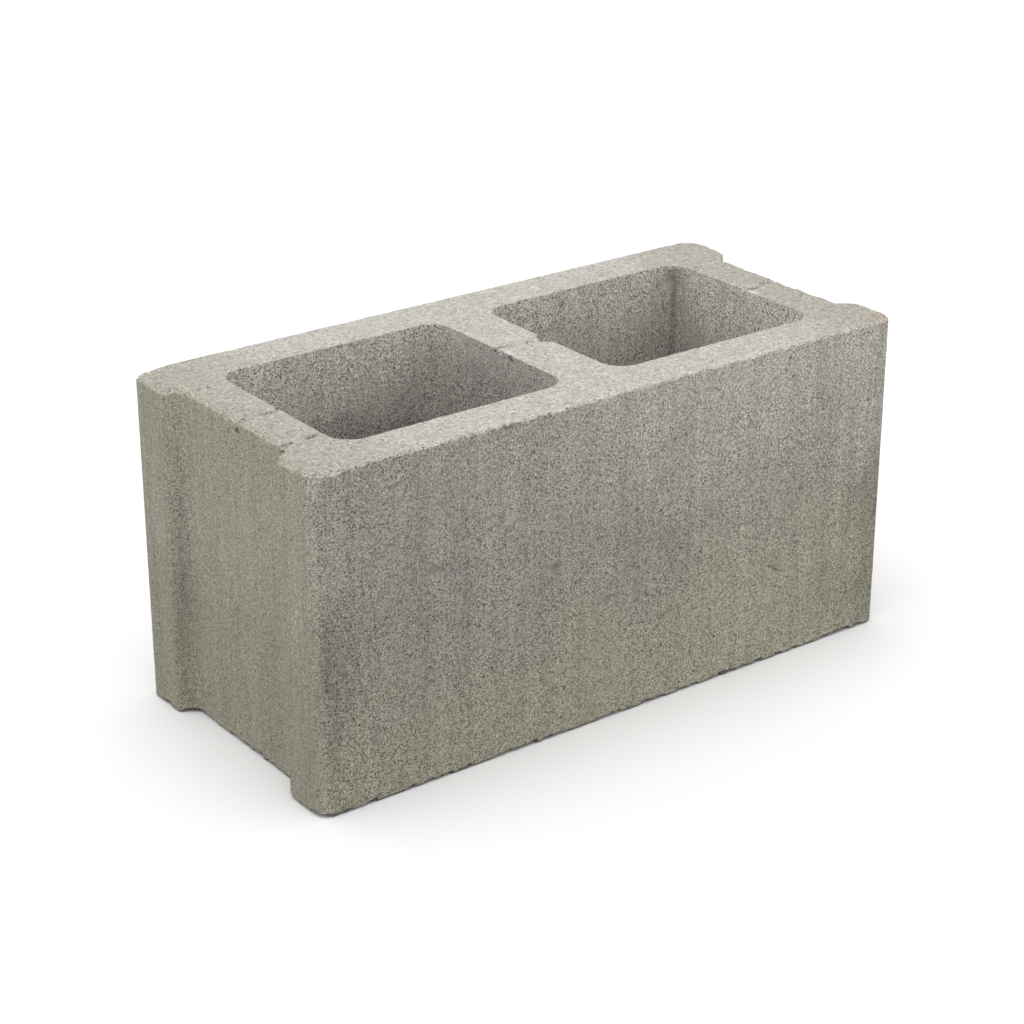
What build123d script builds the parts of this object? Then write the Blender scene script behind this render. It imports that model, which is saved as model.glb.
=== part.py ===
"""Two-core hollow concrete block with recessed, flanged ends, cast as one piece.

The block stands on its bed face as it comes out of the mould. Its length runs along X, its width along Y,
and the origin is at the middle of the bed face. All sizes are in millimetres.
"""
import os
from math import atan2, degrees

from build123d import *

# Overall size: the face of a 400 by 200 module less its mortar joints, and the thickness of the wall
length = 390
width = 178
height = 190

# Walls of the plan, measured at the top face, where the cores are widest
face_shell = 29
end_web = 27
middle_web = 33

# Cores: upright corners, and how far each wall leans in from top to bed so that the mould strips
core_corner = 13
core_draft = 3

# Ends: a shallow recess for mortar between two flanges whose inner sides slope
end_recess = 10
flange_width = 32
flange_slope = 7

# Rounded uprights of the outline: the block's corners, the flanges' tips and the feet of their slopes
block_corner = 9
flange_tip = 5
flange_foot = 5

# Worn arrises round the top and round the bed
top_arris = 1.2
bed_arris = 1.5

# Mark that the bar holding the cores leaves across the tops of the webs
bar_mark_width = 4
bar_mark_depth = 2

# Distance by which cuts run past the faces they open
overrun = 5

# Sizes that follow from the ones above
core_length = (length - middle_web) / 2 - end_web - end_recess
core_width = width - 2 * face_shell
recess_mouth = width - 2 * flange_width
recess_angle = degrees(atan2(end_recess, flange_slope))
draft_angle = degrees(atan2(core_draft, height))

with BuildPart() as concrete_block:
    # Solid body: the rectangle of the plan with a recess at each end
    with BuildSketch() as plan:
        Rectangle(length, width)
        with PolarLocations(length / 2, 2):
            Trapezoid(
                recess_mouth,
                end_recess,
                recess_angle,
                rotation=90,
                align=(Align.CENTER, Align.MIN),
                mode=Mode.SUBTRACT,
            )
        # Rows of corners from the front face to the back: corners, tips, feet, feet, tips, corners
        rows = plan.vertices().group_by(Axis.Y)
        fillet(rows[2] + rows[-3], flange_foot)
        rows = plan.vertices().group_by(Axis.Y)
        fillet(rows[1] + rows[-2], flange_tip)
        rows = plan.vertices().group_by(Axis.Y)
        fillet(rows[0] + rows[-1], block_corner)
    extrude(amount=height)

    # Two cores through the height, narrowing towards the bed
    with BuildSketch(Plane.XY.offset(height)) as core_plan:
        with GridLocations(core_length + middle_web, 0, 2, 1):
            RectangleRounded(core_length, core_width, core_corner)
    extrude(amount=-(height + overrun), taper=draft_angle, mode=Mode.SUBTRACT)

    # Arrises worn round along the outline and along the mouths of the cores
    fillet(faces().sort_by(Axis.Z)[-1].edges(), top_arris)
    fillet(faces().sort_by(Axis.Z)[0].edges(), bed_arris)

    # Shallow trough along the middle of the top, which crosses the three webs
    with BuildSketch(Plane.YZ) as bar_mark:
        with Locations((0, height)):
            Ellipse(bar_mark_width / 2, bar_mark_depth)
    extrude(amount=length / 2 + overrun, both=True, mode=Mode.SUBTRACT)

concrete_block.part.label = "concrete_block"

os.makedirs("parts", exist_ok=True)
export_step(concrete_block.part, "parts/concrete_block.step")
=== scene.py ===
import math

import bmesh
import bpy
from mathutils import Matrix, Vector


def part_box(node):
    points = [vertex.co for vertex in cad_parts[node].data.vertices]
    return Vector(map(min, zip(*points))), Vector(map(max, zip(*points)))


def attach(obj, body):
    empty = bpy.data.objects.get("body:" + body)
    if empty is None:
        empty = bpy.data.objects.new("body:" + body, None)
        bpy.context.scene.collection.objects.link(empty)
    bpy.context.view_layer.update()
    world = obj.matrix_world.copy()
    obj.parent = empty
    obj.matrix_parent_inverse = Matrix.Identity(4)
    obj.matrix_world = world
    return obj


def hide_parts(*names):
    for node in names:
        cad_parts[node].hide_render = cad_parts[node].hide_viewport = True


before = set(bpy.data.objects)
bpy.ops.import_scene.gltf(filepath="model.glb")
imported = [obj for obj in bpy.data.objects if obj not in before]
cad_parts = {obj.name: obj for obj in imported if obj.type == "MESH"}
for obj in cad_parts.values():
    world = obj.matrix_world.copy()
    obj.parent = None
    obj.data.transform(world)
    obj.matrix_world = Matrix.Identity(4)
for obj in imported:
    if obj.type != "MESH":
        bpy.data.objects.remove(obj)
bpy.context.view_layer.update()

# Concrete block
# One piece of nearly dry concrete, crushed sand and fine gravel in cement paste, vibrated in a steel mould
# and stripped upwards while damp. The walls keep the mould's form and drag lines, the arrises crumble, and
# the bar that held the cores tears thin marks across the webs.
MM = 0.001
block_low, block_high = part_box("concrete_block")
block_height = block_high.z
end_face = block_high.x
core_outer = 158 * MM
core_side = 60 * MM
core_draft = 3 * MM

voxel = 0.9 * MM
triangle_budget = 190000
skin_sizes = {
    "Rim": 3.0 * MM,
    "Rounding": 1.6 * MM,
    "Trough width": 6.4 * MM,
    "Trough depth": 2.6 * MM,
    "Arris wear": 0.1 * MM,
    "Facet size": 5.5 * MM,
    "Facet depth": 2.8 * MM,
    "Bite size": 13.0 * MM,
    "Bite depth": 3.2 * MM,
    "Bed wear": 1.4 * MM,
    "Notch size": 5.0 * MM,
    "Notch depth": 4.2 * MM,
    "Foot line": 1.1 * MM,
    "Crumb size": 2.4 * MM,
    "Crumb break": 2.6 * MM,
    "Crumb depth": 0.9 * MM,
    "Grain size": 4.0 * MM,
    "Grain depth": 0.3 * MM,
    "Drag size": 6.0 * MM,
    "Drag depth": 0.25 * MM,
    "Swell size": 45.0 * MM,
    "Swell depth": 0.25 * MM,
}

# Chips knocked out of the arrises, then tears along the bar's lines on the left, middle and right webs:
# the line that each was scooped along, its radius, and how dark its painted shade shows
chips = [
    ((-203, 97, 199), (-203, 97, 203), 19.3, 0.0),
    ((-197.5, 54, 194), (-197.5, 57, 194), 5.6, 0.3),
    ((-199, -93, 198), (-202, -96, 168), 12.3, 0.0),
    ((-189.5, -47, 200), (-189.5, -47, 184), 5.5, 0.3),
    ((-190, -3, 200), (-190, -3, 186), 6.0, 0.5),
    ((-154.4, -3, 200), (-151.5, -3, 176), 5.6, 0.3),
    ((17.3, 1, 200), (22, 1, 174), 7.5, 0.4),
    ((-186, -2, 190.6), (-178, -2.5, 190.6), 1.7, 0.45),
    ((-169, -2, 190.6), (-161, -4, 190.6), 1.7, 0.45),
    ((-186, -43, 190.6), (-178, -45, 190.6), 1.7, 0.45),
    ((-170, -44.5, 190.6), (-161, -43, 190.6), 1.7, 0.45),
    ((-184, 48.5, 190.7), (-166, 46, 190.7), 1.4, 0.2),
    ((-21, 6, 190.6), (-5, 3.5, 190.6), 1.7, 0.45),
    ((160, -1.5, 190.6), (169, -3, 190.6), 1.7, 0.45),
    ((174.5, 0.5, 190.6), (179, 1, 190.6), 1.7, 0.45),
    ((157, 46.5, 190.7), (176, 47.5, 190.7), 1.4, 0.2),
]


def linear(hex_colour):
    """Linear colour of an sRGB value written as six hex digits."""
    shares = [int(hex_colour[i:i + 2], 16) / 255 for i in (0, 2, 4)]
    return [s / 12.92 if s <= 0.04045 else ((s + 0.055) / 1.055) ** 2.4 for s in shares] + [1.0]


def add_node(tree, kind, links=None, **settings):
    """Adds a node, sets its options, and sets or links its inputs by name or number."""
    node = tree.nodes.new(kind)
    for option, value in settings.items():
        setattr(node, option, value)
    for socket, value in (links or {}).items():
        if isinstance(value, bpy.types.Node):
            value = value.outputs[0]
        if isinstance(value, bpy.types.NodeSocket):
            tree.links.new(value, node.inputs[socket])
        else:
            node.inputs[socket].default_value = value
    return node


# Material: pressed concrete with an open, sandy skin, dull and pitted. It is warm grey, olive towards the
# bed and on the ends, paler high up and to the right on the long faces, and palest on the struck top and at
# broken arrises. The cores have painted light at their mouths and painted shade deeper down, and pits,
# tears, dark chips, the crease in the right core and the foot are darkened with painted shade.
warm_grey = linear("a2a097")
olive_grey = linear("a7a392")
cool_grey = linear("9c9890")
end_olive = linear("b2ae9f")
end_low = linear("a7a394")
core_painted_light = linear("c2bfb7")
core_painted_shade = linear("adaaa2")
pale_dust = linear("adaaa3")
warm_dust = linear("9f9b91")
broken_grey = linear("b4b0a5")
rusty_dust = linear("a1978b")
bruise_grey = linear("cac7bf")

# Darker places with wavy borders: four on the long face, and two that are painted shade on walls of the
# left
# core, the fourth and the last: the middle and the half widths of each, and how much darker
darker_and_shaded_spots = [
    ((-200, -89, 82), (45, 60, 55), 0.32),
    ((203, -89, 62), (50, 70, 85), 0.42),
    ((15, -89, 95), (60, 40, 38), 0.14),
    ((-16, 0, 150), (36, 85, 120), 0.36),
    ((150, -89, 30), (55, 40, 32), 0.12),
    ((-90, 60, 105), (95, 30, 62), 0.55),
]

# Small patches of dust with some iron in it, and pale bruises under the mouths' arrises
rusty_spots = [((194, -84, 191), (18, 16, 14)), ((152, -55, 188), (8, 7, 9))]
pale_spots = [((-16.5, -4.5, 187), (7, 5, 5)), ((158, -8.5, 187), (7, 5, 5))]

# Torn marks and groups of pits on the front, then along the bar's lines on the left, middle and right webs,
# darkened with painted shade: the middle and the half widths of each, its turn in degrees, and how dark it
# is
marks = [
    ((-75, -89, 187.8), (10, 6, 1.5), (0, 2, 0), 0.8),
    ((110, -89, 57.5), (13, 6, 1.1), (0, 34, 0), 0.8),
    ((-121, -89, 121), (11, 6, 4), (0, 8, 0), 0.5),
    ((-46, -89, 102), (8, 6, 3), (0, 0, 0), 0.5),
    ((-10, -89, 74), (11, 6, 3), (0, 5, 0), 0.5),
    ((29, -89, 52), (8, 6, 3), (0, 0, 0), 0.5),
    ((-182, -2, 190), (6, 2.0, 5), (0, 0, 0), 1.0),
    ((-165, -3, 190), (7, 2.0, 5), (0, 0, 14), 1.0),
    ((-181, -44.5, 190), (6, 1.9, 5), (0, 0, 0), 0.95),
    ((-165, -43.5, 190), (7, 2.0, 5), (0, 0, -8), 1.0),
    ((-175, 47, 190), (11, 1.6, 5), (0, 0, -8), 0.75),
    ((-13, 4.5, 190), (11, 2.0, 5), (0, 0, -9), 1.0),
    ((5, 2, 190), (6, 1.7, 5), (0, 0, 0), 0.75),
    ((-16.5, -9.5, 187.5), (5, 4, 2.5), (0, 0, 0), 0.9),
    ((164.5, -2, 190), (7, 1.9, 5), (0, 0, -9), 1.0),
    ((177, 0.8, 190), (4, 2.0, 5), (0, 0, 0), 1.0),
    ((167, 47, 190), (11, 1.6, 5), (0, 0, 4), 0.75),
]

concrete = bpy.data.materials.new("dry_cast_concrete")
concrete.use_nodes = True
shader = concrete.node_tree
shader.nodes.clear()
place = add_node(shader, "ShaderNodeTexCoord").outputs["Object"]
facing = add_node(shader, "ShaderNodeNewGeometry").outputs["Normal"]
up_share = add_node(shader, "ShaderNodeSeparateXYZ", {0: facing}).outputs["Z"]

# Ripples that bend the borders of stains, patches and painted light and shade, so that none is a plain
# shape
ripple_width = 38 * MM
ripple_swing = 90 * MM
ripple = add_node(
    shader, "ShaderNodeTexNoise",
    {"Vector": place, "Scale": 1 / ripple_width, "Detail": 3.0, "Roughness": 0.6},
)
shift = add_node(
    shader, "ShaderNodeVectorMath", {0: ripple.outputs["Color"], 1: (0.5, 0.5, 0.5)}, operation="SUBTRACT",
)
shift = add_node(shader, "ShaderNodeVectorMath", {0: shift, "Scale": ripple_swing}, operation="SCALE")
wavy_place = add_node(shader, "ShaderNodeVectorMath", {0: place, 1: shift}, operation="ADD")
wavy = add_node(shader, "ShaderNodeSeparateXYZ", {0: wavy_place}).outputs

# Crumbs that fray the borders of small marks
crumble_width = 2.6 * MM
crumble_swing = (6 * MM, 6 * MM, 6 * MM)
crumble_noise = add_node(
    shader, "ShaderNodeTexNoise",
    {"Vector": place, "Scale": 1 / crumble_width, "Detail": 2.0, "Roughness": 0.65},
)
ragged_place = add_node(
    shader, "ShaderNodeVectorMath",
    {0: crumble_noise.outputs["Color"], 1: (0.5, 0.5, 0.5)},
    operation="SUBTRACT",
)
ragged_place = add_node(
    shader, "ShaderNodeVectorMath", {0: ragged_place, 1: crumble_swing, 2: place}, operation="MULTIPLY_ADD",
)

# Where a point lies: to the right, high, low, in a core, on an end, on the slope of a flange or on top
core_near = 2 * MM
core_far = 8 * MM
end_fade_from = 20 * MM
end_fade_to = 12 * MM
slope_from = 66 * MM
slope_to = 62 * MM
slope_tint = 0.75
olive_rise = 25 * MM
from_middle = add_node(shader, "ShaderNodeVectorMath", {0: place}, operation="ABSOLUTE")
from_middle = add_node(shader, "ShaderNodeSeparateXYZ", {0: from_middle}).outputs
turned = add_node(shader, "ShaderNodeVectorMath", {0: facing}, operation="ABSOLUTE")
turned = add_node(shader, "ShaderNodeSeparateXYZ", {0: turned}).outputs
right_share = add_node(
    shader, "ShaderNodeMapRange",
    {"Value": wavy["X"], "From Min": -end_face * 0.92, "From Max": end_face * 0.67},
    interpolation_type="SMOOTHSTEP",
)
high_share = add_node(
    shader, "ShaderNodeMapRange",
    {"Value": wavy["Z"], "From Min": block_height * 0.5, "From Max": block_height * 0.93},
)
olive_level = add_node(
    shader, "ShaderNodeMath", {0: right_share, 1: -olive_rise, 2: olive_rise}, operation="MULTIPLY_ADD",
)
olive_level = add_node(shader, "ShaderNodeMath", {0: wavy["Z"], 1: olive_level}, operation="ADD")
low_share = add_node(
    shader, "ShaderNodeMapRange",
    {"Value": olive_level, "From Min": block_height * 0.75, "From Max": block_height * 0.2},
    interpolation_type="SMOOTHSTEP",
)
along_core = add_node(
    shader, "ShaderNodeMapRange",
    {"Value": from_middle["X"], "From Min": core_outer + core_far, "From Max": core_outer + core_near},
)
across_core = add_node(
    shader, "ShaderNodeMapRange",
    {"Value": from_middle["Y"], "From Min": core_side + core_far, "From Max": core_side + core_near},
)
core_share = add_node(shader, "ShaderNodeMath", {0: along_core, 1: across_core}, operation="MULTIPLY")
near_end = add_node(
    shader, "ShaderNodeMapRange",
    {"Value": from_middle["X"], "From Min": end_face - end_fade_from, "From Max": end_face - end_fade_to},
)
end_share = add_node(shader, "ShaderNodeMath", {0: near_end, 1: turned["X"]}, operation="MULTIPLY")
end_share = add_node(
    shader, "ShaderNodeMapRange",
    {"Value": end_share, "From Min": 0.4, "From Max": 0.9},
    interpolation_type="SMOOTHSTEP",
)
slope_share = add_node(
    shader, "ShaderNodeMapRange", {"Value": from_middle["Y"], "From Min": slope_from, "From Max": slope_to},
)
slope_share = add_node(shader, "ShaderNodeMath", {0: slope_share, 1: near_end}, operation="MULTIPLY")
sideways = add_node(
    shader, "ShaderNodeMapRange", {"Value": turned["Y"], "From Min": 0.35, "From Max": 0.65},
)
slope_share = add_node(shader, "ShaderNodeMath", {0: slope_share, 1: sideways}, operation="MULTIPLY")
slope_olive = add_node(shader, "ShaderNodeMath", {0: slope_share, 1: slope_tint}, operation="MULTIPLY")
end_share = add_node(shader, "ShaderNodeMath", {0: end_share, 1: slope_olive}, operation="MAXIMUM")
top_share = add_node(
    shader, "ShaderNodeMapRange",
    {"Value": up_share, "From Min": 0.68, "From Max": 0.88},
    interpolation_type="SMOOTHSTEP",
)

# Ground colour: olive low down and on the ends, with soft patches; the cores' grey carries painted light
# near the mouths that fades to painted shade deeper down
ground = add_node(
    shader, "ShaderNodeMix", {0: low_share, 6: warm_grey, 7: olive_grey}, data_type="RGBA",
).outputs[2]
patch_share = add_node(
    shader, "ShaderNodeMapRange", {"Value": ripple, "From Min": 0.45, "From Max": 0.7, "To Max": 0.35},
    interpolation_type="SMOOTHSTEP",
)
end_fall = add_node(
    shader, "ShaderNodeMapRange",
    {"Value": wavy["Z"], "From Min": block_height * 0.62, "From Max": block_height * 0.36},
)
end_ground = add_node(
    shader, "ShaderNodeMix", {0: end_fall, 6: end_olive, 7: end_low}, data_type="RGBA",
).outputs[2]
# Painted light near the cores' mouths, fading to painted shade deeper down
core_shade_fall = add_node(
    shader, "ShaderNodeMapRange",
    {"Value": wavy["Z"], "From Min": block_height * 0.97, "From Max": block_height * 0.62},
)
core_ground = add_node(
    shader, "ShaderNodeMix", {0: core_shade_fall, 6: core_painted_light, 7: core_painted_shade}, data_type="RGBA",
).outputs[2]


def spot_fade(where, middle, half, turn=(0, 0, 0)):
    """Share of a stain, mark or spot of painted shade at each point, from 1 in its middle to 0 at its
    border; sizes in millimetres.
    """
    within = add_node(
        shader, "ShaderNodeMapping",
        {
            "Vector": where,
            "Location": [v * MM for v in middle],
            "Rotation": [math.radians(v) for v in turn],
            "Scale": [v * MM for v in half],
        },
        vector_type="TEXTURE",
    )
    return add_node(shader, "ShaderNodeTexGradient", {0: within}, gradient_type="SPHERICAL").outputs["Fac"]


spot_gain = 1.6
spot_shares = {}
for kind, spots in (("rusty", rusty_spots), ("pale", pale_spots)):
    spot_shares[kind] = 0.0
    for middle, half in spots:
        fade = spot_fade(ragged_place, middle, half)
        spot_shares[kind] = add_node(
            shader, "ShaderNodeMath",
            {0: fade, 1: spot_gain, 2: spot_shares[kind]},
            operation="MULTIPLY_ADD",
            use_clamp=True,
        )

# Struck top, duller towards the ends, and broken arrises, with a little rusty dust near one corner
dull_from = 110 * MM
dull_to = 185 * MM
wear_tint = 0.9
dust_share = add_node(
    shader, "ShaderNodeMapRange",
    {"Value": from_middle["X"], "From Min": dull_from, "From Max": dull_to},
    interpolation_type="SMOOTHSTEP",
)
dust = add_node(
    shader, "ShaderNodeMix", {0: dust_share, 6: pale_dust, 7: warm_dust}, data_type="RGBA",
).outputs[2]
wear = add_node(shader, "ShaderNodeAttribute", attribute_name="wear").outputs["Fac"]
wear_share = add_node(shader, "ShaderNodeMath", {0: wear, 1: wear_tint}, operation="MULTIPLY")
for share, colour in (
    (patch_share, cool_grey),
    (end_share, end_ground),
    (core_share, core_ground),
    (top_share, dust),
    (wear_share, broken_grey),
    (spot_shares["pale"], bruise_grey),
    (spot_shares["rusty"], rusty_dust),
):
    ground = add_node(
        shader, "ShaderNodeMix", {0: share, 6: ground, 7: colour}, data_type="RGBA",
    ).outputs[2]

# Sand grain: each grain is a little lighter or darker than the paste, most on long faces and in cores
grain_width = 0.68 * MM
sand_width = 1.1 * MM
grain_weight = 0.75
sand_weight = 0.2
gap_weight = -0.45
middle_tone = -0.245
darkest_grain = 0.2
face_contrast = 2.15
core_contrast = 2.3
end_contrast = 1.6
top_contrast = 1.15
grain = add_node(
    shader, "ShaderNodeTexNoise", {"Vector": place, "Scale": 1 / grain_width, "Detail": 0.0},
)
sand = add_node(
    shader, "ShaderNodeTexVoronoi", {"Vector": place, "Scale": 1 / sand_width}, feature="F1",
).outputs
sand_tint = add_node(shader, "ShaderNodeSeparateXYZ", {0: sand["Color"]}).outputs["X"]
contrast = face_contrast
for share, value in ((core_share, core_contrast), (end_share, end_contrast), (top_share, top_contrast)):
    contrast = add_node(
        shader, "ShaderNodeMix", {0: share, 2: contrast, 3: value}, data_type="FLOAT",
    ).outputs[0]
rough_patch = add_node(
    shader, "ShaderNodeMapRange",
    {"Value": ripple.outputs["Color"], "From Min": 0.35, "From Max": 0.65, "To Min": 0.85, "To Max": 1.15},
)
contrast = add_node(shader, "ShaderNodeMath", {0: contrast, 1: rough_patch}, operation="MULTIPLY")
grain_tone = add_node(
    shader, "ShaderNodeMath", {0: grain, 1: grain_weight, 2: middle_tone}, operation="MULTIPLY_ADD",
)
grain_tone = add_node(
    shader, "ShaderNodeMath", {0: sand_tint, 1: sand_weight, 2: grain_tone}, operation="MULTIPLY_ADD",
)
grain_tone = add_node(
    shader, "ShaderNodeMath", {0: sand["Distance"], 1: gap_weight, 2: grain_tone}, operation="MULTIPLY_ADD",
)
grain_tone = add_node(
    shader, "ShaderNodeMath", {0: grain_tone, 1: contrast, 2: 1.0}, operation="MULTIPLY_ADD",
)
grain_tone = add_node(shader, "ShaderNodeMath", {0: grain_tone, 1: darkest_grain}, operation="MAXIMUM")

# Lumps on the struck top, and open pits between the grains with ragged rims
lump_contrast = 0.9
pit_spacing = 2.9 * MM
lumps = add_node(shader, "ShaderNodeMath", {0: crumble_noise, 1: top_share}, operation="MULTIPLY")
lump_tone = add_node(shader, "ShaderNodeMath", {0: top_share, 1: -0.5, 2: lumps}, operation="MULTIPLY_ADD")
lump_tone = add_node(
    shader, "ShaderNodeMath", {0: lump_tone, 1: lump_contrast, 2: 1.0}, operation="MULTIPLY_ADD",
)
pits = add_node(
    shader, "ShaderNodeTexVoronoi", {"Vector": ragged_place, "Scale": 1 / pit_spacing}, feature="F1",
).outputs
pit_reach = add_node(shader, "ShaderNodeSeparateXYZ", {0: pits["Color"]}).outputs["X"]
pit_reach = add_node(
    shader, "ShaderNodeMapRange", {"Value": pit_reach, "From Min": 0.6, "From Max": 1.0, "To Max": 0.27},
)
pit_reach = add_node(shader, "ShaderNodeMath", {0: pit_reach, 1: rough_patch}, operation="MULTIPLY")
pit_depth = add_node(shader, "ShaderNodeMath", {0: pit_reach, 1: pits["Distance"]}, operation="SUBTRACT")
pit_share = add_node(shader, "ShaderNodeMapRange", {"Value": pit_depth, "From Max": 0.06})

# Torn concrete in the bar's marks, in dark chips and in the marks on the front, and pits, darkened with
# painted shade, with the right core's crease in painted shade and a painted contact shadow along the foot
painted_shade_fray = 1.2
hole_shade_darkness = 0.6
torn = add_node(shader, "ShaderNodeAttribute", attribute_name="torn").outputs["Fac"]
for middle, half, turn, darkness in marks:
    fade = spot_fade(ragged_place, middle, half, turn)
    fade = add_node(shader, "ShaderNodeMath", {0: fade, 1: darkness}, operation="MULTIPLY")
    torn = add_node(shader, "ShaderNodeMath", {0: torn, 1: fade}, operation="MAXIMUM")
torn = add_node(shader, "ShaderNodeMath", {0: grain, 1: painted_shade_fray, 2: torn}, operation="MULTIPLY_ADD")
painted_shade_share = add_node(shader, "ShaderNodeMapRange", {"Value": torn, "From Min": 0.88, "From Max": 1.15})
hole_shade_share = add_node(shader, "ShaderNodeMath", {0: painted_shade_share, 1: pit_share}, operation="MAXIMUM")
hole_shade_tone = add_node(
    shader, "ShaderNodeMath", {0: hole_shade_share, 1: -hole_shade_darkness, 2: 1.0}, operation="MULTIPLY_ADD",
)

# Drag lines that the mould left up the walls, fine and broad: the width, stretch and strength of each
tone = add_node(shader, "ShaderNodeMath", {0: grain_tone, 1: hole_shade_tone}, operation="MULTIPLY")
tone = add_node(shader, "ShaderNodeMath", {0: tone, 1: lump_tone}, operation="MULTIPLY")
for width, stretch, depth in ((2.5 * MM, 0.06, 0.35), (9 * MM, 0.03, 0.3)):
    drag = add_node(shader, "ShaderNodeMapping", {"Vector": place, "Scale": (1.0, 1.0, stretch)})
    drag = add_node(
        shader, "ShaderNodeTexNoise", {"Vector": drag, "Scale": 1 / width, "Detail": 1.5, "Roughness": 0.6},
    )
    drag = add_node(shader, "ShaderNodeMath", {0: drag, 1: 0.5}, operation="SUBTRACT")
    drag = add_node(shader, "ShaderNodeMath", {0: drag, 1: depth, 2: 1.0}, operation="MULTIPLY_ADD")
    tone = add_node(shader, "ShaderNodeMath", {0: tone, 1: drag}, operation="MULTIPLY")

# The long faces are palest up and to the right and darker at their ends, and walls of the left core carry
# painted shade
upper_right_gain = 0.45
right_gain = 0.42
slope_darkening = 0.08
slant = add_node(shader, "ShaderNodeMath", {0: right_share, 1: 0.6, 2: 0.3}, operation="MULTIPLY_ADD")
paler_up_right = add_node(shader, "ShaderNodeMath", {0: right_share, 1: right_gain}, operation="MULTIPLY")
paler_up_right = add_node(shader, "ShaderNodeMath", {0: high_share, 1: slant, 2: paler_up_right}, operation="MULTIPLY_ADD")
on_face = add_node(shader, "ShaderNodeMath", {0: 1.0, 1: core_share}, operation="SUBTRACT")
on_face = add_node(shader, "ShaderNodeMath", {0: on_face, 1: turned["Y"]}, operation="MULTIPLY")
paler_up_right = add_node(shader, "ShaderNodeMath", {0: paler_up_right, 1: on_face}, operation="MULTIPLY")
paler_up_right = add_node(shader, "ShaderNodeMath", {0: paler_up_right, 1: upper_right_gain, 2: 1.0}, operation="MULTIPLY_ADD")
# Darker spots, two of them painted shade in the left core, kept off the ends and the top; the flange slope
# is darker too
darkening_and_shade = 0.0
for middle, half, strength in darker_and_shaded_spots:
    fade = spot_fade(wavy_place, middle, half)
    fade = add_node(shader, "ShaderNodeMath", {0: fade, 1: strength}, operation="MULTIPLY")
    darkening_and_shade = add_node(shader, "ShaderNodeMath", {0: darkening_and_shade, 1: fade}, operation="MAXIMUM")
off_ends_and_top = add_node(shader, "ShaderNodeMath", {0: end_share, 1: top_share}, operation="MAXIMUM")
off_ends_and_top = add_node(shader, "ShaderNodeMath", {0: 1.0, 1: off_ends_and_top}, operation="SUBTRACT")
darkening_and_shade = add_node(shader, "ShaderNodeMath", {0: darkening_and_shade, 1: off_ends_and_top}, operation="MULTIPLY")
darkening_and_shade = add_node(
    shader, "ShaderNodeMath", {0: slope_share, 1: slope_darkening, 2: darkening_and_shade}, operation="MULTIPLY_ADD",
)
darkening_and_shade = add_node(shader, "ShaderNodeMath", {0: 1.0, 1: darkening_and_shade}, operation="SUBTRACT")
tone = add_node(shader, "ShaderNodeMath", {0: tone, 1: paler_up_right}, operation="MULTIPLY")
tone = add_node(shader, "ShaderNodeMath", {0: tone, 1: darkening_and_shade}, operation="MULTIPLY")
ground = add_node(shader, "ShaderNodeVectorMath", {0: ground, "Scale": tone}, operation="SCALE")

# Fine relief of grains, pits and lumps, and the dull surface
hole_relief = -0.7
lump_relief = 2.0
relief_depth = 0.7 * MM
height = add_node(
    shader, "ShaderNodeMath", {0: hole_shade_share, 1: hole_relief, 2: grain}, operation="MULTIPLY_ADD",
)
height = add_node(shader, "ShaderNodeMath", {0: lumps, 1: lump_relief, 2: height}, operation="MULTIPLY_ADD")
relief = add_node(shader, "ShaderNodeBump", {"Height": height, "Strength": 0.5, "Distance": relief_depth})
surface = add_node(
    shader, "ShaderNodeBsdfPrincipled",
    {"Base Color": ground, "Roughness": 0.95, "Specular IOR Level": 0.2, "Normal": relief},
)
add_node(shader, "ShaderNodeOutputMaterial", {"Surface": surface})

# Even skin over the mould's form
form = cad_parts["concrete_block"]
cast = bpy.data.meshes.new("cast_block")
merged = bmesh.new()
merged.from_mesh(form.data)
bmesh.ops.remove_doubles(merged, verts=merged.verts, dist=0.001 * MM)
merged.to_mesh(cast)
merged.free()
block = bpy.data.objects.new("cast_block", cast)
bpy.context.scene.collection.objects.link(block)
remesh = block.modifiers.new("even_skin", "REMESH")
remesh.mode = "VOXEL"
remesh.voxel_size = voxel

scoop_mesh = bpy.data.meshes.new("chip_scoops")
scoop_mesh.from_pydata(
    [[v * MM for v in end] for chip in chips for end in chip[:2]],
    [(2 * i, 2 * i + 1) for i in range(len(chips))],
    [],
)
for name, values in (("reach", [chip[2] * MM for chip in chips]), ("dark", [chip[3] for chip in chips])):
    kept = scoop_mesh.attributes.new(name, "FLOAT", "POINT")
    kept.data.foreach_set("value", [value for value in values for end in range(2)])
scoops = bpy.data.objects.new("chip_scoops", scoop_mesh)
bpy.context.scene.collection.objects.link(scoops)

tree = bpy.data.node_groups.new("crumbled_skin", "GeometryNodeTree")
tree.interface.new_socket("Geometry", in_out="OUTPUT", socket_type="NodeSocketGeometry")
tree.interface.new_socket("Geometry", in_out="INPUT", socket_type="NodeSocketGeometry")
form_socket = tree.interface.new_socket("Mould form", in_out="INPUT", socket_type="NodeSocketObject")
scoop_socket = tree.interface.new_socket("Chip scoops", in_out="INPUT", socket_type="NodeSocketObject")
size_sockets = {
    name: tree.interface.new_socket(name, in_out="INPUT", socket_type="NodeSocketFloat")
    for name in skin_sizes
}
given = add_node(tree, "NodeGroupInput").outputs
here = add_node(tree, "GeometryNodeInputPosition")
xyz = add_node(tree, "ShaderNodeSeparateXYZ", {0: here}).outputs
outward = add_node(tree, "GeometryNodeInputNormal")
top_drop = add_node(tree, "ShaderNodeMath", {0: block_height, 1: xyz["Z"]}, operation="SUBTRACT")
from_centre = add_node(tree, "ShaderNodeMath", {0: xyz["X"]}, operation="ABSOLUTE")

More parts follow.
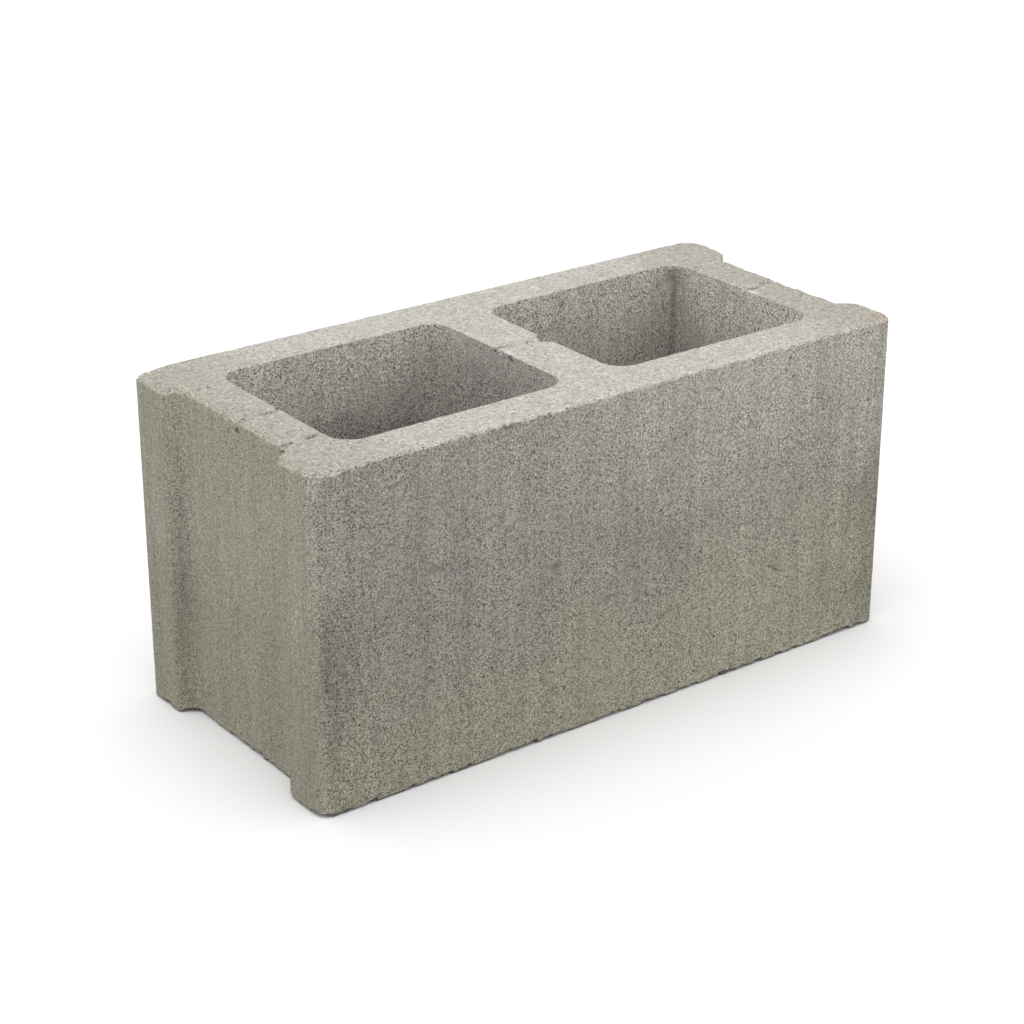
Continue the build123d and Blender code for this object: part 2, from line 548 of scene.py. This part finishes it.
# Distance to the nearest upright wall and the way that wall faces, taken from the mould's form
upright_lean = 0.3
mould = add_node(tree, "GeometryNodeObjectInfo", {"Object": given["Mould form"]}).outputs["Geometry"]
lean = add_node(tree, "ShaderNodeSeparateXYZ", {0: outward}).outputs["Z"]
upright = add_node(tree, "FunctionNodeCompare", {0: lean, 1: 0.0, 12: upright_lean}, operation="EQUAL")
walls = add_node(
    tree, "GeometryNodeSeparateGeometry", {"Geometry": mould, "Selection": upright}, domain="FACE",
)
top_rim = add_node(tree, "ShaderNodeMath", {0: block_height, 1: given["Rim"]}, operation="SUBTRACT")
below = add_node(tree, "ShaderNodeMath", {0: xyz["Z"], 1: top_rim}, operation="MINIMUM")
level = add_node(tree, "ShaderNodeMath", {0: below, 1: given["Rim"]}, operation="MAXIMUM")
probe = add_node(tree, "ShaderNodeCombineXYZ", {0: xyz["X"], 1: xyz["Y"], 2: level})
wall_gap = add_node(
    tree, "GeometryNodeProximity", {0: walls, "Sample Position": probe}, target_element="FACES",
).outputs["Distance"]
wall_side = add_node(
    tree, "GeometryNodeSampleNearestSurface", {"Mesh": walls, "Value": outward, "Sample Position": probe},
    data_type="FLOAT_VECTOR",
)

# The arrises start square, and the trough under the bar is nearly closed by paste that slumped back into it
square_margin = 0.6 * MM
healed_share = 0.8
shifts = []
by_wall = add_node(tree, "ShaderNodeMath", {0: wall_gap, 1: given["Rounding"]}, operation="LESS_THAN")
for drop, up in ((top_drop, 1.0), (xyz["Z"], -1.0)):
    rounded = add_node(tree, "ShaderNodeMath", {0: drop, 1: given["Rounding"]}, operation="LESS_THAN")
    rounded = add_node(tree, "ShaderNodeMath", {0: rounded, 1: by_wall}, operation="MULTIPLY")
    lower = add_node(tree, "ShaderNodeMath", {0: drop, 1: wall_gap}, operation="SUBTRACT")
    level_part = add_node(tree, "ShaderNodeMath", {0: lower, 1: square_margin}, operation="LESS_THAN")
    wall_part = add_node(tree, "ShaderNodeMath", {0: lower, 1: -square_margin}, operation="GREATER_THAN")
    rise = add_node(tree, "ShaderNodeMath", {0: drop, 1: level_part}, operation="MULTIPLY")
    rise = add_node(tree, "ShaderNodeMath", {0: rise, 1: rounded}, operation="MULTIPLY")
    rise = add_node(tree, "ShaderNodeMath", {0: rise, 1: up}, operation="MULTIPLY")
    spread = add_node(tree, "ShaderNodeMath", {0: wall_gap, 1: wall_part}, operation="MULTIPLY")
    spread = add_node(tree, "ShaderNodeMath", {0: spread, 1: rounded}, operation="MULTIPLY")
    shifts.append(add_node(tree, "ShaderNodeCombineXYZ", {2: rise}))
    shifts.append(add_node(
        tree, "ShaderNodeVectorMath", {0: wall_side, "Scale": spread}, operation="SCALE",
    ))
off_bar = add_node(tree, "ShaderNodeMath", {0: xyz["Y"]}, operation="ABSOLUTE")
off_bar = add_node(tree, "ShaderNodeMath", {0: off_bar, 1: 2.0}, operation="MULTIPLY")
healed = add_node(tree, "ShaderNodeMath", {0: off_bar, 1: given["Trough width"]}, operation="LESS_THAN")
for value, limit, test in ((top_drop, given["Trough depth"], "LESS_THAN"), (lean, 0.1, "GREATER_THAN")):
    kept = add_node(tree, "ShaderNodeMath", {0: value, 1: limit}, operation=test)
    healed = add_node(tree, "ShaderNodeMath", {0: healed, 1: kept}, operation="MULTIPLY")
healed = add_node(tree, "ShaderNodeMath", {0: healed, 1: by_wall}, operation="SUBTRACT")
healed = add_node(tree, "ShaderNodeMath", {0: healed, 1: 0.0}, operation="MAXIMUM")
healed = add_node(tree, "ShaderNodeMath", {0: healed, 1: top_drop}, operation="MULTIPLY")
healed = add_node(tree, "ShaderNodeMath", {0: healed, 1: healed_share}, operation="MULTIPLY")
shifts.append(add_node(tree, "ShaderNodeCombineXYZ", {2: healed}))
total = shifts[0]
for part in shifts[1:]:
    total = add_node(tree, "ShaderNodeVectorMath", {0: total, 1: part}, operation="ADD")
skin = add_node(tree, "GeometryNodeSetPosition", {"Geometry": given["Geometry"], "Offset": total})

# Noise fields, one for each pattern, each as wide as its size says; drag lines run up the walls
drag_stretch = 0.06
fields = {}
for number, pattern in enumerate(("Crumb", "Bite", "Grain", "Swell", "Drag")):
    stretch = drag_stretch if pattern == "Drag" else 1.0
    shifted = add_node(
        tree, "ShaderNodeVectorMath",
        {0: here, 1: (1.0, 1.0, stretch), 2: (number, 0.0, 0.0)},
        operation="MULTIPLY_ADD",
    )
    per_metre = add_node(tree, "ShaderNodeMath", {0: 1.0, 1: given[pattern + " size"]}, operation="DIVIDE")
    noise = add_node(
        tree, "ShaderNodeTexNoise",
        {"Vector": shifted, "Scale": per_metre, "Detail": 2.0, "Roughness": 0.6},
    ).outputs
    fields[pattern] = noise["Fac"]
    if pattern == "Crumb":
        frayed = add_node(
            tree, "ShaderNodeVectorMath", {0: noise["Color"], 1: (0.5, 0.5, 0.5)}, operation="SUBTRACT",
        )

# Arrises: the top breaks away in small flat facets, wide round the ends and slight elsewhere, with crumbs
# along the front and the left end; the bed's edge is notched all round
wear_from = 22 * MM
wear_to = 12 * MM
least_wear = 0.12
front_from = -78 * MM
front_to = -84 * MM
front_share = 0.36
right_end_share = 0.45
break_slope = 2.0
end_wear = add_node(
    tree, "ShaderNodeMapRange",
    {
        "Value": from_centre,
        "From Min": end_face - wear_from,
        "From Max": end_face - wear_to,
        "To Min": least_wear,
        "To Max": 1.0,
    },
)
front_wear = add_node(
    tree, "ShaderNodeMapRange", {"Value": xyz["Y"], "From Min": front_from, "From Max": front_to},
)
left_wear = add_node(
    tree, "ShaderNodeMapRange",
    {"Value": xyz["X"], "From Min": wear_from - end_face, "From Max": wear_to - end_face},
)
crumbled = add_node(tree, "ShaderNodeMath", {0: front_wear, 1: left_wear}, operation="MAXIMUM")
slight_wear = add_node(tree, "ShaderNodeMath", {0: front_wear, 1: front_share}, operation="MULTIPLY")
end_wear = add_node(tree, "ShaderNodeMath", {0: end_wear, 1: slight_wear}, operation="MAXIMUM")
handled_less = add_node(
    tree, "ShaderNodeMapRange",
    {
        "Value": xyz["X"],
        "From Min": -end_face,
        "From Max": end_face,
        "To Min": 1.0,
        "To Max": right_end_share,
    },
)
end_wear = add_node(tree, "ShaderNodeMath", {0: end_wear, 1: handled_less}, operation="MULTIPLY")
cells = {}
for pattern in ("Facet", "Notch"):
    per_metre = add_node(tree, "ShaderNodeMath", {0: 1.0, 1: given[pattern + " size"]}, operation="DIVIDE")
    cell = add_node(tree, "ShaderNodeTexVoronoi", {"Vector": here, "Scale": per_metre}, feature="F1")
    cells[pattern] = add_node(tree, "ShaderNodeSeparateXYZ", {0: cell.outputs["Color"]}).outputs["X"]
bites = add_node(tree, "ShaderNodeMapRange", {"Value": fields["Bite"], "From Min": 0.4, "From Max": 0.65})
top_bevel = add_node(
    tree, "ShaderNodeMath", {0: cells["Facet"], 1: given["Facet depth"]}, operation="MULTIPLY",
)
top_bevel = add_node(
    tree, "ShaderNodeMath", {0: bites, 1: given["Bite depth"], 2: top_bevel}, operation="MULTIPLY_ADD",
)
top_bevel = add_node(
    tree, "ShaderNodeMath", {0: top_bevel, 1: end_wear, 2: given["Arris wear"]}, operation="MULTIPLY_ADD",
)
crumbs = add_node(
    tree, "ShaderNodeMapRange", {"Value": fields["Crumb"], "From Min": 0.44, "From Max": 0.62},
)
crumbs = add_node(tree, "ShaderNodeMath", {0: crumbs, 1: given["Crumb break"]}, operation="MULTIPLY")
top_bevel = add_node(
    tree, "ShaderNodeMath", {0: crumbs, 1: crumbled, 2: top_bevel}, operation="MULTIPLY_ADD",
)
notches = add_node(tree, "ShaderNodeMapRange", {"Value": cells["Notch"], "From Min": 0.25, "From Max": 1.0})
bed_bevel = add_node(
    tree, "ShaderNodeMath",
    {0: notches, 1: given["Notch depth"], 2: given["Bed wear"]},
    operation="MULTIPLY_ADD",
)
pushes = []
for drop, up, bevel in ((top_drop, 1.0, top_bevel), (xyz["Z"], -1.0, bed_bevel)):
    inside = add_node(
        tree, "ShaderNodeMath", {0: drop, 1: break_slope, 2: wall_gap}, operation="MULTIPLY_ADD",
    )
    excess = add_node(tree, "ShaderNodeMath", {0: bevel, 1: inside}, operation="SUBTRACT")
    excess = add_node(tree, "ShaderNodeMath", {0: excess, 1: 0.0}, operation="MAXIMUM")
    inwards = add_node(
        tree, "ShaderNodeMath", {0: excess, 1: -1 / math.hypot(1, break_slope)}, operation="MULTIPLY",
    )
    corner = add_node(
        tree, "ShaderNodeVectorMath", {0: wall_side, 1: (0.0, 0.0, up * break_slope)}, operation="ADD",
    )
    corner = add_node(tree, "ShaderNodeVectorMath", {0: corner}, operation="NORMALIZE")
    pushes.append(add_node(tree, "ShaderNodeVectorMath", {0: corner, "Scale": inwards}, operation="SCALE"))

# Chips: points inside a scoop's frayed tube move out to its surface; the dark tears fray most
chip_fray = 2.0
tear_fray = 7.0
scoop_margin = 1.5 * MM
scoop_lines = add_node(tree, "GeometryNodeObjectInfo", {"Object": given["Chip scoops"]}).outputs["Geometry"]
nearest = add_node(tree, "GeometryNodeSampleNearest", {"Geometry": scoop_lines, "Sample Position": here})
scoop_kept = {}
for name in ("reach", "dark"):
    kept = add_node(tree, "GeometryNodeInputNamedAttribute", {"Name": name}, data_type="FLOAT")
    scoop_kept[name] = add_node(
        tree, "GeometryNodeSampleIndex",
        {"Geometry": scoop_lines, "Value": kept, "Index": nearest},
        data_type="FLOAT",
    )
fray = add_node(
    tree, "ShaderNodeMath", {0: scoop_kept["dark"], 1: tear_fray, 2: chip_fray}, operation="MULTIPLY_ADD",
)
fray = add_node(tree, "ShaderNodeMath", {0: fray, 1: given["Crumb depth"]}, operation="MULTIPLY")
frayed = add_node(tree, "ShaderNodeVectorMath", {0: frayed, "Scale": fray}, operation="SCALE")
frayed = add_node(tree, "ShaderNodeVectorMath", {0: here, 1: frayed}, operation="ADD")
scoop = add_node(
    tree, "GeometryNodeProximity", {0: scoop_lines, "Sample Position": frayed}, target_element="EDGES",
).outputs
away = add_node(tree, "ShaderNodeVectorMath", {0: here, 1: scoop["Position"]}, operation="SUBTRACT")
away = add_node(tree, "ShaderNodeVectorMath", {0: away}, operation="NORMALIZE")
scooped = add_node(
    tree, "ShaderNodeMath", {0: scoop_kept["reach"], 1: scoop["Distance"]}, operation="SUBTRACT",
)
near_scoop = add_node(tree, "ShaderNodeMath", {0: scooped, 1: -scoop_margin}, operation="GREATER_THAN")
scooped = add_node(tree, "ShaderNodeMath", {0: scooped, 1: 0.0}, operation="MAXIMUM")
pushes.append(add_node(tree, "ShaderNodeVectorMath", {0: away, "Scale": scooped}, operation="SCALE"))

# Crease down one corner of the right core, where two sides of the core box met, drafted as the walls are
crease_inset = 3.8 * MM
crease_reach = 8 * MM
deepest_crease = 4.0 * MM
crease_start = 1.5 * MM
crease_full = 9 * MM
crease_darkness = 0.45
fall = add_node(tree, "ShaderNodeMath", {0: top_drop, 1: -core_draft / block_height}, operation="MULTIPLY")
crease_x = add_node(tree, "ShaderNodeMath", {0: fall, 1: core_outer - crease_inset}, operation="ADD")
crease_y = add_node(tree, "ShaderNodeMath", {0: fall, 1: core_side - crease_inset}, operation="ADD")
crease_middle = add_node(tree, "ShaderNodeCombineXYZ", {0: crease_x, 1: crease_y, 2: xyz["Z"]})
crease_gap = add_node(
    tree, "ShaderNodeVectorMath", {0: here, 1: crease_middle}, operation="DISTANCE",
).outputs["Value"]
creased = add_node(
    tree, "ShaderNodeMapRange", {"Value": crease_gap, "From Min": crease_reach, "From Max": 0.0},
)
below_mouth = add_node(
    tree, "ShaderNodeMapRange", {"Value": top_drop, "From Min": crease_start, "From Max": crease_full},
)
creased = add_node(tree, "ShaderNodeMath", {0: creased, 1: below_mouth}, operation="MULTIPLY")
crease_depth = add_node(tree, "ShaderNodeMath", {0: creased, 1: -deepest_crease}, operation="MULTIPLY")
pushes.append(add_node(
    tree, "ShaderNodeVectorMath", {0: wall_side, "Scale": crease_depth}, operation="SCALE",
))
# The crease is darkened with painted shade, as a concave corner shades itself
dark_crease = add_node(
    tree, "ShaderNodeMapRange",
    {"Value": creased, "From Min": 0.6, "From Max": 0.95, "To Max": crease_darkness},
)

# How pale each point broke, the painted shade of dark chips and of the crease, and a painted contact shadow
# along the foot are kept for the material, and points near an arris or a chip are kept from thinning; then
# all cuts are made
break_fade = 1.2 * MM
foot_notch = 1.6
foot_fade = 0.7 * MM
foot_darkness = 0.8
foot_far = 2.2 * MM
foot_near = 1.2 * MM
fine_top = 5 * MM
fine_bed = 3.5 * MM
fine_side = 5 * MM
broken = add_node(tree, "ShaderNodeMapRange", {"Value": scooped, "From Max": break_fade})
dark = add_node(tree, "ShaderNodeMath", {0: broken, 1: scoop_kept["dark"]}, operation="MULTIPLY")
worn = add_node(tree, "ShaderNodeMath", {0: broken, 1: dark}, operation="SUBTRACT")
dark = add_node(tree, "ShaderNodeMath", {0: dark, 1: dark_crease}, operation="MAXIMUM")
# A painted contact shadow along the foot of the walls, taller at the notches
foot = add_node(tree, "ShaderNodeMath", {0: notches, 1: foot_notch, 2: 1.0}, operation="MULTIPLY_ADD")
foot = add_node(tree, "ShaderNodeMath", {0: foot, 1: given["Foot line"]}, operation="MULTIPLY")
foot = add_node(tree, "ShaderNodeMath", {0: foot, 1: xyz["Z"]}, operation="SUBTRACT")
foot = add_node(tree, "ShaderNodeMapRange", {"Value": foot, "From Max": foot_fade, "To Max": foot_darkness})
on_wall = add_node(
    tree, "ShaderNodeMapRange", {"Value": wall_gap, "From Min": foot_far, "From Max": foot_near},
)
foot = add_node(tree, "ShaderNodeMath", {0: foot, 1: on_wall}, operation="MULTIPLY")
dark = add_node(tree, "ShaderNodeMath", {0: dark, 1: foot}, operation="MAXIMUM")
fine = near_scoop
for drop, reach in ((top_drop, fine_top), (xyz["Z"], fine_bed)):
    by_edge = add_node(tree, "ShaderNodeMath", {0: drop, 1: reach}, operation="LESS_THAN")
    by_side = add_node(tree, "ShaderNodeMath", {0: wall_gap, 1: fine_side}, operation="LESS_THAN")
    by_edge = add_node(tree, "ShaderNodeMath", {0: by_edge, 1: by_side}, operation="MULTIPLY")
    fine = add_node(tree, "ShaderNodeMath", {0: fine, 1: by_edge}, operation="MAXIMUM")
for name, value in (("wear", worn), ("torn", dark), ("fine", fine)):
    skin = add_node(
        tree, "GeometryNodeStoreNamedAttribute", {"Geometry": skin, "Name": name, "Value": value},
        data_type="FLOAT", domain="POINT",
    )
total = pushes[0]
for push in pushes[1:]:
    total = add_node(tree, "ShaderNodeVectorMath", {0: total, 1: push}, operation="ADD")
skin = add_node(tree, "GeometryNodeSetPosition", {"Geometry": skin, "Offset": total})

# Grain, drag lines and swell over every face, always inwards and rougher on top, inside the mould's form
top_roughening = 2.0
rough_share = add_node(
    tree, "ShaderNodeMapRange",
    {"Value": lean, "From Min": 0.5, "From Max": 0.9, "To Min": 1.0, "To Max": top_roughening},
)
grain_depth = add_node(
    tree, "ShaderNodeMath", {0: given["Grain depth"], 1: rough_share}, operation="MULTIPLY",
)
depth = add_node(tree, "ShaderNodeMath", {0: fields["Grain"], 1: grain_depth}, operation="MULTIPLY")
for pattern in ("Swell", "Drag"):
    depth = add_node(
        tree, "ShaderNodeMath",
        {0: fields[pattern], 1: given[pattern + " depth"], 2: depth},
        operation="MULTIPLY_ADD",
    )
depth = add_node(tree, "ShaderNodeMath", {0: depth, 1: -1.0}, operation="MULTIPLY")
dent = add_node(tree, "ShaderNodeVectorMath", {0: outward, "Scale": depth}, operation="SCALE")
skin = add_node(tree, "GeometryNodeSetPosition", {"Geometry": skin, "Offset": dent})
kept_in = add_node(tree, "ShaderNodeVectorMath", {0: here, 1: block_low}, operation="MAXIMUM")
kept_in = add_node(tree, "ShaderNodeVectorMath", {0: kept_in, 1: block_high}, operation="MINIMUM")
skin = add_node(tree, "GeometryNodeSetPosition", {"Geometry": skin, "Position": kept_in})
skin = add_node(tree, "GeometryNodeRealizeInstances", {"Geometry": skin})
skin = add_node(tree, "GeometryNodeSetMaterial", {"Geometry": skin, "Material": concrete})
add_node(tree, "NodeGroupOutput", {"Geometry": skin})

crumble = block.modifiers.new("crumbled_skin", "NODES")
crumble.node_group = tree
crumble[form_socket.identifier] = form
crumble[scoop_socket.identifier] = scoops
for name, size in skin_sizes.items():
    crumble[size_sockets[name].identifier] = size


def settled_mesh(piece, name):
    """Plain mesh of a piece with its modifiers carried out."""
    evaluated = piece.evaluated_get(bpy.context.evaluated_depsgraph_get())
    mesh = bpy.data.meshes.new_from_object(evaluated)
    mesh.name = name
    return mesh


dense = settled_mesh(block, "dense_skin")
block.modifiers.clear()
bpy.data.objects.remove(scoops)
block.data = dense
arrises = block.vertex_groups.new(name="arrises")
fine_points = [i for i, point in enumerate(dense.attributes["fine"].data) if point.value > 0.5]
arrises.add(fine_points, 1.0, "REPLACE")
thin = block.modifiers.new("fewer_faces", "DECIMATE")
thin.ratio = triangle_budget / sum(len(p.vertices) - 2 for p in dense.polygons)
thin.vertex_group = arrises.name
thin.invert_vertex_group = True
block.data = settled_mesh(block, "cast_block")
block.modifiers.clear()
block.vertex_groups.clear()
block.data.attributes.remove(block.data.attributes["fine"])

# Faces that folded over where two breaks met are eased apart, and points stay inside the mould's form
ease_rounds = 12
fold_angle = math.radians(135)
sharp_angle = math.radians(42)
eased = bmesh.new()
eased.from_mesh(block.data)
for ease in range(ease_rounds):
    eased.normal_update()
    folds = [edge for edge in eased.edges if edge.calc_face_angle(0.0) > fold_angle]
    folded = {vertex.index: vertex for edge in folds for vertex in edge.verts}
    bmesh.ops.smooth_vert(
        eased,
        verts=list(folded.values()),
        factor=0.5,
        use_axis_x=True,
        use_axis_y=True,
        use_axis_z=True,
    )
eased.to_mesh(block.data)
eased.free()
for vertex in block.data.vertices:
    vertex.co = [min(max(v, low), high) for v, low, high in zip(vertex.co, block_low, block_high)]
for polygon in block.data.polygons:
    polygon.use_smooth = True
block.data.set_sharp_from_angle(angle=sharp_angle)
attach(block, "root")
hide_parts("concrete_block")

# Floor
# A seamless white paper sweep that the block stands on. It looks white, and throws back as much light as a
# grey one.
floor_half = 20.0
paper_white = linear("e6e6e6")
paper_bounce = linear("6c6c6c")
floor_mesh = bpy.data.meshes.new("paper_floor")
floor_corners = [(x * floor_half, y * floor_half, 0) for x, y in ((-1, -1), (1, -1), (1, 1), (-1, 1))]
floor_mesh.from_pydata(floor_corners, [], [(0, 1, 2, 3)])
floor = bpy.data.objects.new("paper_floor", floor_mesh)
bpy.context.scene.collection.objects.link(floor)
paper = bpy.data.materials.new("white_paper")
paper.use_nodes = True
paper_tree = paper.node_tree
paper_tree.nodes.clear()
paper_ray = add_node(paper_tree, "ShaderNodeLightPath").outputs
paper_seen = add_node(
    paper_tree, "ShaderNodeMath",
    {0: paper_ray["Is Camera Ray"], 1: paper_ray["Is Glossy Ray"]},
    operation="ADD",
)
paper_seen = add_node(
    paper_tree, "ShaderNodeMath",
    {0: paper_seen, 1: paper_ray["Is Transmission Ray"]},
    operation="ADD",
    use_clamp=True,
)
paper_colour = add_node(
    paper_tree, "ShaderNodeMix", {0: paper_seen, 6: paper_bounce, 7: paper_white}, data_type="RGBA",
).outputs[2]
paper_surface = add_node(paper_tree, "ShaderNodeBsdfDiffuse", {"Color": paper_colour})
add_node(paper_tree, "ShaderNodeOutputMaterial", {"Surface": paper_surface})
floor_mesh.materials.append(paper)

# Light
# A broad soft box overhead and white walls all round, at a plain level, so that colours render about as
# they are written.
world = bpy.data.worlds.new("white_studio")
bpy.context.scene.world = world
world.use_nodes = True
sky = world.node_tree
sky.nodes.clear()
air = add_node(sky, "ShaderNodeBackground", {"Color": (1.0, 1.0, 1.0, 1.0), "Strength": 1.0})
add_node(sky, "ShaderNodeOutputWorld", {"Surface": air})

soft_box = bpy.data.lights.new("soft_box", "SUN")
soft_box.energy = 1.4
soft_box.angle = math.radians(50)
lamp = bpy.data.objects.new("soft_box", soft_box)
lamp.rotation_euler = (math.radians(4), math.radians(-7), 0)
bpy.context.scene.collection.objects.link(lamp)

# Camera
# Where the photograph was taken from, worked out from the block's straight edges: in metres, with a lens in
# millimetres on a 36 mm sensor.
lens = bpy.data.cameras.new("camera")
lens.lens = 87.936
lens.sensor_width = 36
camera = bpy.data.objects.new("camera", lens)
camera.location = (-0.77534, -1.02759, 0.65576)
camera.rotation_euler = (math.radians(90 - 23.738), 0, math.radians(-36.741))
bpy.context.scene.collection.objects.link(camera)
bpy.context.scene.camera = camera
bpy.context.scene.view_settings.view_transform = "Standard"
